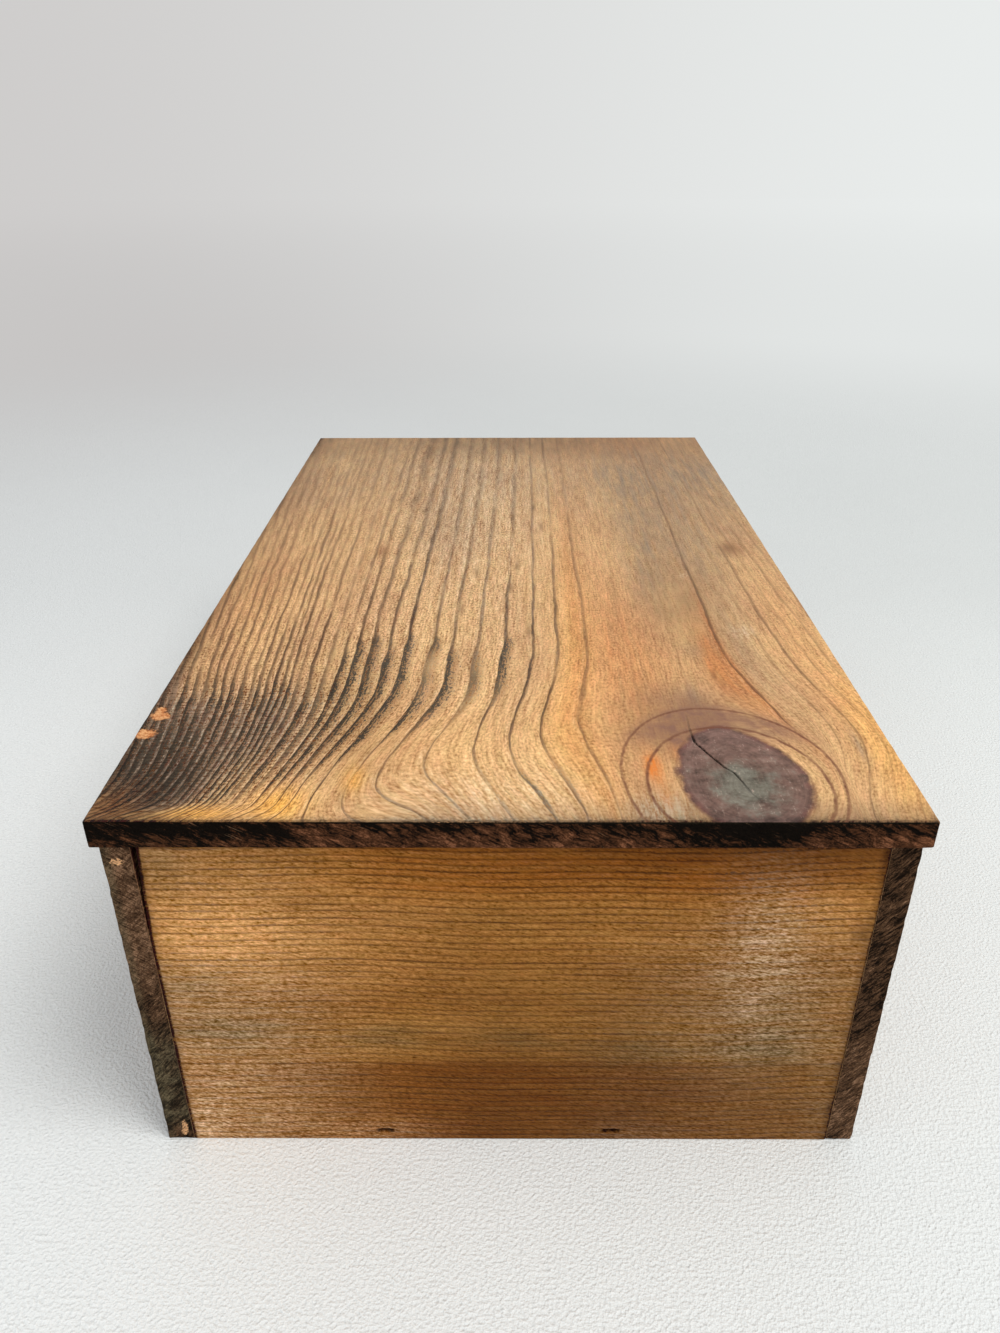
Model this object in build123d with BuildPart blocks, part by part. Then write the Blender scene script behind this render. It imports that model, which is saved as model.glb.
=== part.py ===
from build123d import *
import os

os.makedirs("parts", exist_ok=True)

# Wooden storage box for papers: five nailed cedar boards, and a loose flat lid on two battens.
# The origin lies on the table under the middle of the box. +X is right and -Y is the front.

# Box boards, in millimetres
body_width = 238.0
body_depth = 403.5
body_height = 129.0
side_thickness = 9.0
end_thickness = 9.0
bottom_thickness = 9.0
board_arris = 0.4

# The front board's left end stands off the side board at the rim and meets it further down
shrink_gap_width = 1.7
shrink_gap_height = 38.0

# Lid board, with one long lower edge worn rounder than the rest, and its two battens
lid_overhang = 2.0
lid_thickness = 9.4
lid_arris = 0.5
lid_worn_radius = 1.2
batten_width = 20.0
batten_height = 10.0
batten_arris = 0.8
batten_lead_in = 3.0
batten_side_clearance = 1.5
batten_end_clearance = 2.0

# Forged nails: a square shank tapers to the point, and the flat head lies along the grain.
# A long sort holds the box together, and a short one holds the battens.
box_nail_length = 25.0
batten_nail_length = 15.0
shank_width = 1.8
point_width = 0.5
head_length = 6.0
head_width = 2.2
head_thickness = 1.2
punch_depth = 1.2
nail_clearance = 0.05

# Places of the nails
corner_nail_count = 3
corner_nail_inset = 20.0
side_nail_count = 3
side_nail_inset = 60.0
end_nail_left_inset = 76.0
end_nail_right_inset = 84.0
batten_nail_count = 3
batten_nail_inset = 18.0

# Sizes that follow from them
half_width = body_width / 2
half_depth = body_depth / 2
inner_width = body_width - 2 * side_thickness
inner_depth = body_depth - 2 * end_thickness
batten_length = inner_width - 2 * batten_side_clearance
batten_middle = inner_depth / 2 - batten_end_clearance - batten_width / 2
batten_underside = body_height - batten_height

# Outer faces that nails are driven into, each looking outwards
left_face = Plane.left.offset(half_width)
right_face = Plane.right.offset(half_width)
front_face = Plane.front.offset(half_depth)
rear_face = Plane.back.offset(half_depth)
batten_face = Plane.bottom.offset(-batten_underside)


def spread(count, length):
    """Evenly spaced places from one end of a length to the other, about its middle."""
    step = length / (count - 1)
    return [index * step - length / 2 for index in range(count)]


def make_nail(length, spare, pocket):
    """One nail, point down, with the top of its head at the origin.

    Spare room all round it and a pocket above its head turn it into the hole that it makes.
    """
    with BuildPart(mode=Mode.PRIVATE) as nail:
        with BuildSketch(Plane.XY.offset(-head_thickness)):
            Rectangle(shank_width + 2 * spare, shank_width + 2 * spare)
        with BuildSketch(Plane.XY.offset(-length - spare)):
            Rectangle(point_width + 2 * spare, point_width + 2 * spare)
        loft()
        with BuildSketch(Plane.XY.offset(pocket)):
            Rectangle(head_length + 2 * spare, head_width + 2 * spare)
        extrude(amount=-pocket - head_thickness - spare)
    return nail.part


# A nail of each sort, and the hole that it makes as it is punched below the surface
box_nail = make_nail(box_nail_length, 0, 0)
batten_nail = make_nail(batten_nail_length, 0, 0)
box_nail_hole = make_nail(box_nail_length, nail_clearance, punch_depth)
batten_nail_hole = make_nail(batten_nail_length, nail_clearance, punch_depth)


def seats(face, places):
    """Where nails punched into a face have the tops of their heads."""
    punched = face.offset(-punch_depth)
    return [punched.location * Location(place) for place in places]


# Nail places on each face: along the grain, then across it
corner_heights = [body_height / 2 + up for up in spread(corner_nail_count, body_height - 2 * corner_nail_inset)]
corner_along = half_depth - end_thickness / 2
base_height = bottom_thickness / 2
side_alongs = spread(side_nail_count, body_depth - 2 * side_nail_inset)
batten_alongs = spread(batten_nail_count, batten_length - 2 * batten_nail_inset)

front_left_corner = seats(left_face, [(corner_along, height) for height in corner_heights])
rear_left_corner = seats(left_face, [(-corner_along, height) for height in corner_heights])
front_right_corner = seats(right_face, [(-corner_along, height) for height in corner_heights])
rear_right_corner = seats(right_face, [(corner_along, height) for height in corner_heights])
base_left = seats(left_face, [(along, base_height) for along in side_alongs])
base_right = seats(right_face, [(along, base_height) for along in side_alongs])
base_front = seats(
    front_face,
    [(end_nail_left_inset - half_width, base_height), (half_width - end_nail_right_inset, base_height)],
)
base_rear = seats(
    rear_face,
    [(end_nail_right_inset - half_width, base_height), (half_width - end_nail_left_inset, base_height)],
)
front_batten = seats(batten_face, [(along, batten_middle) for along in batten_alongs])
rear_batten = seats(batten_face, [(along, -batten_middle) for along in batten_alongs])


# Left side board: it runs the whole depth, so its end grain shows at the front
with BuildPart() as left_side:
    with BuildSketch(Plane.XY):
        with Locations((-half_width, 0)):
            Rectangle(side_thickness, body_depth, align=(Align.MIN, Align.CENTER))
    extrude(amount=body_height)
    chamfer(left_side.faces().sort_by(Axis.X)[0].edges(), board_arris)
    with Locations(*front_left_corner, *rear_left_corner, *base_left):
        add(box_nail_hole, mode=Mode.SUBTRACT)
left_side.part.label = "left_side_board"
export_step(left_side.part, "parts/left_side_board.step")


# Right side board
with BuildPart() as right_side:
    with BuildSketch(Plane.XY):
        with Locations((half_width, 0)):
            Rectangle(side_thickness, body_depth, align=(Align.MAX, Align.CENTER))
    extrude(amount=body_height)
    chamfer(right_side.faces().sort_by(Axis.X)[-1].edges(), board_arris)
    with Locations(*front_right_corner, *rear_right_corner, *base_right):
        add(box_nail_hole, mode=Mode.SUBTRACT)
right_side.part.label = "right_side_board"
export_step(right_side.part, "parts/right_side_board.step")


# Front board: it stands between the side boards, with its left end cut back at the rim
with BuildPart() as front:
    with BuildSketch(front_face):
        with BuildLine():
            Polyline(
                (-inner_width / 2, 0),
                (inner_width / 2, 0),
                (inner_width / 2, body_height),
                (shrink_gap_width - inner_width / 2, body_height),
                (-inner_width / 2, body_height - shrink_gap_height),
                close=True,
            )
        make_face()
    extrude(amount=-end_thickness)
    chamfer(front.faces().sort_by(Axis.Y)[0].edges().filter_by(Axis.X), board_arris)
    with Locations(*front_left_corner, *front_right_corner, *base_front):
        add(box_nail_hole, mode=Mode.SUBTRACT)
front.part.label = "front_board"
export_step(front.part, "parts/front_board.step")


# Rear board
with BuildPart() as rear:
    with BuildSketch(rear_face):
        Rectangle(inner_width, body_height, align=(Align.CENTER, Align.MIN))
    extrude(amount=-end_thickness)
    chamfer(rear.faces().sort_by(Axis.Y)[-1].edges().filter_by(Axis.X), board_arris)
    with Locations(*rear_left_corner, *rear_right_corner, *base_rear):
        add(box_nail_hole, mode=Mode.SUBTRACT)
rear.part.label = "rear_board"
export_step(rear.part, "parts/rear_board.step")


# Bottom board: it lies inside the four walls, flush with their lower edges
with BuildPart() as bottom:
    with BuildSketch(Plane.XY):
        Rectangle(inner_width, inner_depth)
    extrude(amount=bottom_thickness)
    with Locations(*base_left, *base_right, *base_front, *base_rear):
        add(box_nail_hole, mode=Mode.SUBTRACT)
bottom.part.label = "bottom_board"
export_step(bottom.part, "parts/bottom_board.step")


# Lid board: one flat board that laps over the box a little on every side
with BuildPart() as lid:
    with BuildSketch(Plane.XY.offset(body_height)):
        Rectangle(body_width + 2 * lid_overhang, body_depth + 2 * lid_overhang)
    extrude(amount=lid_thickness)
    lower_right_edge = lid.faces().sort_by(Axis.Z)[0].edges().sort_by(Axis.X)[-1]
    fillet(lower_right_edge, lid_worn_radius)
    fillet(lid.faces().sort_by(Axis.Z)[-1].edges(), lid_arris)
    with Locations(*front_batten, *rear_batten):
        add(batten_nail_hole, mode=Mode.SUBTRACT)
lid.part.label = "lid_board"
export_step(lid.part, "parts/lid_board.step")


# Battens: they keep the lid flat, and drop between the walls so that it can't slide off
for end_name, middle, nail_seats in (
    ("front", -batten_middle, front_batten),
    ("rear", batten_middle, rear_batten),
):
    with BuildPart() as batten:
        with BuildSketch(Plane.XY.offset(batten_underside)):
            with Locations((0, middle)):
                Rectangle(batten_length, batten_width)
        extrude(amount=batten_height)
        lower_edges = batten.faces().sort_by(Axis.Z)[0].edges()
        chamfer(lower_edges.filter_by(Axis.Y), batten_lead_in)
        lower_edges = batten.faces().sort_by(Axis.Z)[0].edges()
        chamfer(lower_edges.filter_by(Axis.X), batten_arris)
        with Locations(*nail_seats):
            add(batten_nail_hole, mode=Mode.SUBTRACT)
    batten.part.label = f"lid_batten_{end_name}"
    export_step(batten.part, f"parts/lid_batten_{end_name}.step")


# Nails, one group for each joint of the boards
for group_name, nail, nail_seats in (
    ("nails_front_left_corner", box_nail, front_left_corner),
    ("nails_rear_left_corner", box_nail, rear_left_corner),
    ("nails_front_right_corner", box_nail, front_right_corner),
    ("nails_rear_right_corner", box_nail, rear_right_corner),
    ("nails_bottom_left", box_nail, base_left),
    ("nails_bottom_right", box_nail, base_right),
    ("nails_bottom_front", box_nail, base_front),
    ("nails_bottom_rear", box_nail, base_rear),
    ("nails_batten_front", batten_nail, front_batten),
    ("nails_batten_rear", batten_nail, rear_batten),
):
    with BuildPart() as nails:
        with Locations(*nail_seats):
            add(nail)
    nails.part.label = group_name
    export_step(nails.part, f"parts/{group_name}.step")
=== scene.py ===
import math

import bpy
import numpy as np
from mathutils import Matrix, Vector


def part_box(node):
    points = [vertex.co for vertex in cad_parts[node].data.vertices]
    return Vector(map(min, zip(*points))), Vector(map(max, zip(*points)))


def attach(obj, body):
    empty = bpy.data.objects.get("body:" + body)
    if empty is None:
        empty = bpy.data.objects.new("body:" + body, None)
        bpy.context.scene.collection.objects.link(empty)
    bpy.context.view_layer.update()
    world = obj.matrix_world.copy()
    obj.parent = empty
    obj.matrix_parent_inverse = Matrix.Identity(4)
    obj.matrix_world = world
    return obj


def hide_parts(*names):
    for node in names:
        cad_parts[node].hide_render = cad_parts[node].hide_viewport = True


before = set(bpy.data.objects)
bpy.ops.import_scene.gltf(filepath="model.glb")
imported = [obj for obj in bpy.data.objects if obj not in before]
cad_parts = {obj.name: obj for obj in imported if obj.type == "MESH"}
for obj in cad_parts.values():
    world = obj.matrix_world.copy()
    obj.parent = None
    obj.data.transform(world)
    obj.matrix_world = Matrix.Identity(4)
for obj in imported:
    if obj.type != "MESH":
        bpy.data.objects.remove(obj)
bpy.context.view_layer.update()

# Nailed cedar box with a loose flat lid. Sizes below are in millimetres, and meshes are made in metres.
MM = 0.001


# Shapes

# Lattice lines by an edge, the least step between lines, and how near a face a point counts as on it
EDGE_STEPS = np.array([0, 0.2, 0.45, 0.8, 1.3, 2.0, 3.0])
LEAST_STEP = 0.12
ON_FACE = 0.01
NOISE_CELLS = 32
noise_table = np.random.default_rng(7).random((NOISE_CELLS,) * 3)

# The eye-shaped slit that a punched nail leaves, how dark its painted shade is, and the lattice lines round
# its middle
SLIT_HALF_LENGTH = 3.4
SLIT_HALF_WIDTH = 1.15
SLIT_DEPTH = 1.35
SLIT_SHADE = 0.95
SLIT_ROWS = np.linspace(-3.2, 3.2, 9)
SLIT_COLUMNS = np.linspace(-1.2, 1.2, 7)


def ease(value, low, high):
    """0 at low and 1 at high, with soft ends. Low may be the larger one."""
    t = np.clip((value - low) / (high - low), 0, 1)
    return t * t * (3 - 2 * t)


def bell(value, middle, reach):
    """1 in the middle, falling softly to 0 outside the reach."""
    return np.exp(-(((value - middle) / reach) ** 2))


def spots(x, y, *marks):
    """The sum of soft oval spots. Each has its strength, its middle, and its reach along x and y."""
    total = 0
    for power, x_middle, y_middle, x_reach, y_reach in marks:
        total = total + power * bell(x, x_middle, x_reach) * bell(y, y_middle, y_reach)
    return total


def course(place, *stops):
    """A value that runs straight from stop to stop. Each stop has its place and its value."""
    places, values = zip(*stops)
    return np.interp(place, places, values)


def noise(points, cell):
    """Smooth noise from 0 to 1, with cells of the given size."""
    spaced = points / np.asarray(cell, float)
    base = np.floor(spaced).astype(int)
    part = spaced - base
    part = part * part * (3 - 2 * part)
    total = np.zeros(len(points))
    for corner in range(8):
        step = np.array([corner & 1, corner >> 1 & 1, corner >> 2 & 1])
        i, j, k = ((base + step) % NOISE_CELLS).T
        total += noise_table[i, j, k] * np.prod(np.where(step, part, 1 - part), axis=1)
    return total


def stations(low, high, step, fine=()):
    """Places of lattice lines: even inside, close together by both ends, and at the fine places."""
    inside = np.linspace(low + EDGE_STEPS[-1], high - EDGE_STEPS[-1], max(2, round((high - low) / step)))
    places = np.concatenate([low + EDGE_STEPS, high - EDGE_STEPS, inside, np.asarray(fine, float)])
    places = np.unique(np.round(places, 3))
    keep = np.concatenate([[True], np.diff(places) > LEAST_STEP])
    keep[-1] = True
    return places[keep]


def shell(xs, ys, zs):
    """Points and quads of a box's surface on a lattice, and the side that each quad is on.

    The sides are numbered -X, +X, -Y, +Y, -Z, +Z.
    """
    shape = (len(xs), len(ys), len(zs))
    surface = np.ones(shape, bool)
    surface[1:-1, 1:-1, 1:-1] = False
    index = np.full(shape, -1)
    index[surface] = np.arange(surface.sum())
    points = np.stack(np.meshgrid(xs, ys, zs, indexing="ij"), -1)[surface]
    quads, sides = [], []
    for axis in range(3):
        for end in (0, -1):
            layer = index.take(end, axis)
            ring = [layer[:-1, :-1], layer[1:, :-1], layer[1:, 1:], layer[:-1, 1:]]
            if (end == 0) != (axis == 1):
                ring = ring[::-1]
            made = np.stack(ring, -1).reshape(-1, 4)
            quads.append(made)
            sides.append(np.full(len(made), 2 * axis - end))
    return points, np.concatenate(quads), np.concatenate(sides)


def round_edges(points, low, high, radius):
    """Surface points of a box, moved so that its edges are round by the radius at each point."""
    radius = radius[:, None]
    core = np.clip(points, low + radius, high - radius)
    out = points - core
    return core + out * (radius / np.linalg.norm(out, axis=1, keepdims=True))


def slit_shapes(along, across, slits):
    """How much each point is inside a slit, from 0 to 1, and how deep the slits go there."""
    inside, depth = np.zeros(len(along)), np.zeros(len(along))
    for middle_along, middle_across in slits:
        lens = np.clip(1 - ((along - middle_along) / SLIT_HALF_LENGTH) ** 2, 0, 1)
        aside = np.abs(across - middle_across)
        pressed = np.clip(1 - aside / SLIT_HALF_WIDTH / np.maximum(lens, 1e-6), 0, 1)
        inside = np.maximum(inside, ease(aside, 1.1, 0.7) * ease(lens, 0.02, 0.35))
        depth += SLIT_DEPTH * ease(pressed, 0, 0.6) * ease(lens, 0, 0.15)
    return inside, depth


def make_piece(name, node, shape, fields, materials, material_of_side, body):
    """One board as a mesh piece that stands for its CAD node."""
    points, quads, sides = shape
    mesh = bpy.data.meshes.new(name)
    mesh.from_pydata((points * MM).tolist(), [], quads.tolist())
    for key, values in fields.items():
        stored = mesh.attributes.new(key, "FLOAT_VECTOR", "POINT")
        stored.data.foreach_set("vector", np.column_stack(values).astype(np.float32).ravel())
    for material in materials:
        mesh.materials.append(material)
    mesh.polygons.foreach_set("material_index", np.array(material_of_side)[sides].astype(np.int32))
    mesh.polygons.foreach_set("use_smooth", np.ones(len(quads), bool))
    mesh.update()
    piece = bpy.data.objects.new(name, mesh)
    bpy.context.scene.collection.objects.link(piece)
    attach(piece, body)
    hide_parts(node)


def node_box(node):
    """The low and high corners of a CAD node."""
    low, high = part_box(node)
    return np.round(np.array(low) / MM, 3), np.round(np.array(high) / MM, 3)


# Annual rings

def grow(low, high, width, vary, seed):
    """Places of ring lines from low to high, with the given mean width as a function of place."""
    rng = np.random.default_rng(seed)
    places = [low]
    while places[-1] < high:
        places.append(places[-1] + width(places[-1]) * rng.uniform(1 - vary, 1 + vary))
    return np.array(places)


def count_rings(across, lines):
    """How many ring lines have been passed, and the width of the ring, at each place."""
    passed = np.interp(across, lines, np.arange(len(lines)))
    middles = (lines[1:] + lines[:-1]) / 2
    return passed, np.interp(across, middles, np.diff(lines))


def oval_gap(x, y, middle, left, right, back, front):
    """Distance outwards from an oval that reaches differently far on its four sides."""
    dx, dy = x - middle[0], y - middle[1]
    share = np.hypot(dx / np.where(dx < 0, left, right), dy / np.where(dy > 0, back, front))
    return np.hypot(dx, dy) * (1 - 1 / np.maximum(share, 0.05))


# Materials

def srgb(red, green, blue):
    """A linear colour from 0 to 255 screen values."""
    shares = [c / 255 for c in (red, green, blue)]
    return [s / 12.92 if s <= 0.04045 else ((s + 0.055) / 1.055) ** 2.4 for s in shares] + [1.0]


def adds(operation, swapped=False):
    """A method of Wire that adds one math node."""
    def method(self, other=0.0):
        return self.net.math(operation, *((other, self) if swapped else (self, other)))
    return method


class Wire:
    """An output in a node graph. Arithmetic with it adds math nodes."""

    def __init__(self, net, socket):
        self.net, self.socket = net, socket

    __add__, __radd__ = adds("ADD"), adds("ADD", swapped=True)
    __sub__, __rsub__ = adds("SUBTRACT"), adds("SUBTRACT", swapped=True)
    __mul__, __truediv__ = adds("MULTIPLY"), adds("DIVIDE")
    least, most = adds("MINIMUM"), adds("MAXIMUM")
    size, whole, part = adds("ABSOLUTE"), adds("FLOOR"), adds("FRACT")

    def twin(self, output):
        """Another output of the same node."""
        return Wire(self.net, self.socket.node.outputs[output])

    def clip(self):
        return self.net.math("ADD", self, 0, clamp=True)

    def ease(self, low, high):
        inputs = {"Value": self, "From Min": low, "From Max": high}
        return self.net.add("ShaderNodeMapRange", inputs, "Result", interpolation_type="SMOOTHSTEP")


class Net:
    """The node tree of a material or the world, and short calls that add nodes to it."""

    def __init__(self, owner):
        self.owner = owner
        owner.use_nodes = True
        self.tree = owner.node_tree
        self.tree.nodes.clear()

    def add(self, kind, inputs, output=0, **settings):
        """An output of a new node, whose inputs are given by name or number as values or wires."""
        node = self.tree.nodes.new(kind)
        for key, value in settings.items():
            setattr(node, key, value)
        for key, value in inputs.items():
            if isinstance(value, Wire):
                self.tree.links.new(value.socket, node.inputs[key])
            else:
                node.inputs[key].default_value = value
        return Wire(self, node.outputs[output])

    def math(self, operation, first, second=0.0, clamp=False):
        return self.add("ShaderNodeMath", {0: first, 1: second}, operation=operation, use_clamp=clamp)

    def field(self, name):
        """A vector that the mesh holds at each point."""
        return self.add("ShaderNodeAttribute", {}, "Vector", attribute_name=name)

    def coordinates(self, kind):
        return self.add("ShaderNodeTexCoord", {}, kind)

    def place(self):
        """Where a point is in the object, in millimetres."""
        return self.stretch(self.coordinates("Object"), (MM, MM, MM))

    def split(self, vector):
        x = self.add("ShaderNodeSeparateXYZ", {0: vector})
        return x, x.twin(1), x.twin(2)

    def join(self, x, y, z):
        return self.add("ShaderNodeCombineXYZ", {0: x, 1: y, 2: z})

    def stretch(self, vector, cell):
        return self.add("ShaderNodeVectorMath", {0: vector, 1: cell}, operation="DIVIDE")

    def length(self, vector):
        return self.add("ShaderNodeVectorMath", {0: vector}, "Value", operation="LENGTH")

    def noise(self, vector, cell, detail=2.0, rough=0.55):
        """Noise about 0, mostly from -0.5 to 0.5, with cells of the given size."""
        inputs = {"Vector": self.stretch(vector, cell), "Scale": 1, "Detail": detail, "Roughness": rough}
        return (self.add("ShaderNodeTexNoise", inputs, "Fac") - 0.5) * 2

    def cells(self, vector, cell):
        """Torn cells: the distance from each cell's middle, and a chance value from 0 to 1 for the cell."""
        inputs = {"Vector": self.stretch(vector, cell), "Scale": 1}
        distance = self.add("ShaderNodeTexVoronoi", inputs, "Distance")
        return distance, self.split(distance.twin("Color"))[0]

    def chance(self, number):
        """A fixed random value from 0 to 1 for each number."""
        return self.add("ShaderNodeTexWhiteNoise", {"W": number}, "Value", noise_dimensions="1D")

    def mix(self, share, first, second):
        """A colour between two, which are the node's inputs 6 and 7."""
        return self.add("ShaderNodeMix", {0: share, 6: first, 7: second}, 2, data_type="RGBA")

    def dim(self, colour, factor, green=1.0, blue=1.0):
        """The colour times a factor, which can act more strongly on green and blue."""
        away = factor - 1
        factors = self.join(factor, away * green + 1, away * blue + 1)
        return self.add("ShaderNodeVectorMath", {0: colour, 1: factors}, operation="MULTIPLY")

    def coat(self, colour, rough, height, specular):
        """A surface with bumps, whose height is in millimetres."""
        bump = self.add("ShaderNodeBump", {"Distance": MM, "Height": height})
        inputs = {"Base Color": colour, "Roughness": rough, "Normal": bump, "Specular IOR Level": specular}
        return self.add("ShaderNodeBsdfPrincipled", inputs)

    def light(self, kind, colour, strength=1.0):
        return self.add(kind, {"Color": colour, "Strength": strength})

    def blend(self, share, first, second):
        """A surface between two."""
        return self.add("ShaderNodeMixShader", {0: share, 1: first, 2: second})

    def seen(self):
        """1 for the rays that show the background, and 0 for those that only light the object."""
        camera = self.add("ShaderNodeLightPath", {}, "Is Camera Ray")
        return camera.most(camera.twin("Is Glossy Ray")).most(camera.twin("Is Transmission Ray"))

    def put_out(self, surface, kind="ShaderNodeOutputMaterial"):
        """Ends the graph with this surface, and gives back the material or world."""
        self.tree.links.new(surface.socket, self.tree.nodes.new(kind).inputs["Surface"])
        return self.owner


def material_net(name):
    return Net(bpy.data.materials.new(name))


def face_wood(name, look, dress=None):
    """Long grain: ring lines, fibres, pores and patches, from the fields on the mesh.

    Noise cells are given across the grain, along it and into the board.
    """
    net = material_net(name)
    grain = net.field("grain")
    side, along, depth = net.split(grain)
    passed, width, strength = net.split(net.field("ring"))
    thick, soft, shade = net.split(net.field("line"))
    warm, grey, char = net.split(net.field("tone"))
    gold, worn, smoke = net.split(net.field("mark"))
    cloud = net.noise(grain, (24, 85, 24))
    streak = net.noise(grain, (2.6, 44, 2.6))
    fibre = net.noise(grain, (0.8, 10, 0.8), 3, 0.6)
    grit = net.noise(grain, (0.75, 1.4, 0.75), 2, 0.6)
    ray = net.noise(grain, (3.5, 0.9, 3.5), 1)
    slanted = net.join(side + along * look["slant"], along - side * look["slant"], depth)
    slant = net.noise(slanted, (0.7, 3.2, 0.7), 1)
    smudge = net.noise(grain, (4.5, 24, 4.5), 2)
    wander = net.noise(grain, (12, 42, 12), 1)
    jitter = net.noise(grain, (1.3, 10, 1.3), 2)
    blush = net.noise(grain, (2.2, 9, 2.2), 3, 0.65)

    # Ring lines: a sharp edge, a soft tail, breaks by chance, and soot that widens the tail
    turn = passed + (wander * look["wander"] + jitter * look["jitter"] + grit * look["fray"]) / width
    into = turn.part() * width
    number = turn.whole()
    broken = net.noise(net.join(number * 7.3, along, 0), (1, look["dash"], 1), 1)
    tip = net.chance(number + 0.37) * 22 + 98 + jitter * 10
    sooty = (smoke * along.ease(tip + 7, tip - 7)).clip()
    power = (strength * (net.chance(number) * 0.5 + 0.7) * broken.ease(-0.7, 0.1) + sooty * 0.3).clip()
    tail = (into - thick) / (thick * look["tail"] + sooty * (width * 0.6).least(3.6))
    ragged = (fibre * 0.9 + grit * 1.1) * (look["ragged"] + sooty * 0.8)
    late = (((1 - tail) + ragged).ease(0.2, 0.9) * into.ease(0, soft) * power).clip()

    # Ground colours
    colour = net.mix(cloud.ease(-0.4, 0.4), look["early"], look["tan"])
    colour = net.mix(gold.clip(), colour, look["gold"])
    colour = net.mix((warm * (1 + streak * 0.8)).clip(), colour, look["warm"])
    colour = net.mix((grey * (1 + streak * 0.9 + smudge * 0.5)).clip(), colour, look["grey"])

    # Burn: ash at its rim, char in its middle, and embers' red flecks. On the front board the same steps
    # paint the shadow under the lid's rim, dark and saturated
    ash = (char * (1.3 + streak + fibre * 0.5)).ease(0, 0.7)
    colour = net.mix(ash * 0.8, colour, look["ash"])
    burnt_and_deep_rim_shadow = (char * (1.0 + streak * 0.6 + fibre * 1.3 + grit * 1.8)).ease(0.3, 1.3)
    colour = net.mix(burnt_and_deep_rim_shadow * 0.9, colour, look["char"])
    rasp = side.ease(-20, -70) * along.ease(200, 70) * look["fleck"]
    ember = char.ease(0.1, 0.5) * look["fleck"] + rasp * 0.4
    colour = net.mix(blush.ease(0.1, 0.45) * ember, colour, look["ember"])

    # Lines over the ground, then pale wear with painted sheen, and pale ash with a painted highlight on the
    # crests
    black = net.noise(grain, (1.6, 6, 1.6), 2).ease(0.1, 0.4) * look["knots"]
    line = net.mix((char * 2 + sooty + black).clip(), look["late"], look["soot"])
    colour = net.mix(late * look["contrast"], colour, line)
    # Painted highlight on the edge just before each ring line, and pale ash there on burnt wood
    crest = (into - width).ease(-1.5, -0.35) * (char * 0.6 + 0.12) * strength
    crest = crest * (1 + grit * 2.8 + fibre * 2.8 + jitter * 2.2)
    pale = (worn * (1 + (fibre + streak + slant + grit) * 1.6)).clip()
    fair = net.mix(char.clip(), look["pale"], look["dull"])
    colour = net.mix((pale * 0.8 + crest * look["crest"]).clip(), colour, fair)

    # Fine grain and shade
    pore = grit.ease(0.3, 0.55) * fibre.ease(-0.1, 0.3) * look["pores"]
    scorched = (char + smoke * 0.3).ease(0.05, 0.5) * look["fleck"] + rasp * 0.8
    tint = 1 + (grit + fibre * 0.5 + ray * rasp * 0.7) * scorched + fibre * look["fibre"]
    tint = tint + grit * look["grit"] + streak * look["streak"] + slant * look["cross"] + ray * look["ray"]
    dark = shade * (1 + streak * 0.6 + smudge * 0.5 + grit * 1.2 + fibre * 0.6)
    colour = net.dim(colour, (tint - pore * 0.5).most(0.2), 1.15, look["skew"])
    colour = net.dim(colour, 1 + blush * look["blush"], -0.5, 0.3)
    colour = net.dim(colour, (1 - dark).most(0.05), 1.05, 1.1)
    rough = look["rough"] + cloud * 0.08 + fibre * 0.12 + char * 0.12 - late * 0.05
    height = late * look["ridge"] + fibre * 0.05 + grit * 0.04 + streak * 0.04 - pore * 0.1
    height = height + slant * look["cross"] * 0.2
    if dress:
        colour, rough, height = dress(net, along, colour, rough, height, fibre, streak)
    return net.put_out(net.coat(colour, rough, height, look["specular"]))


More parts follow.
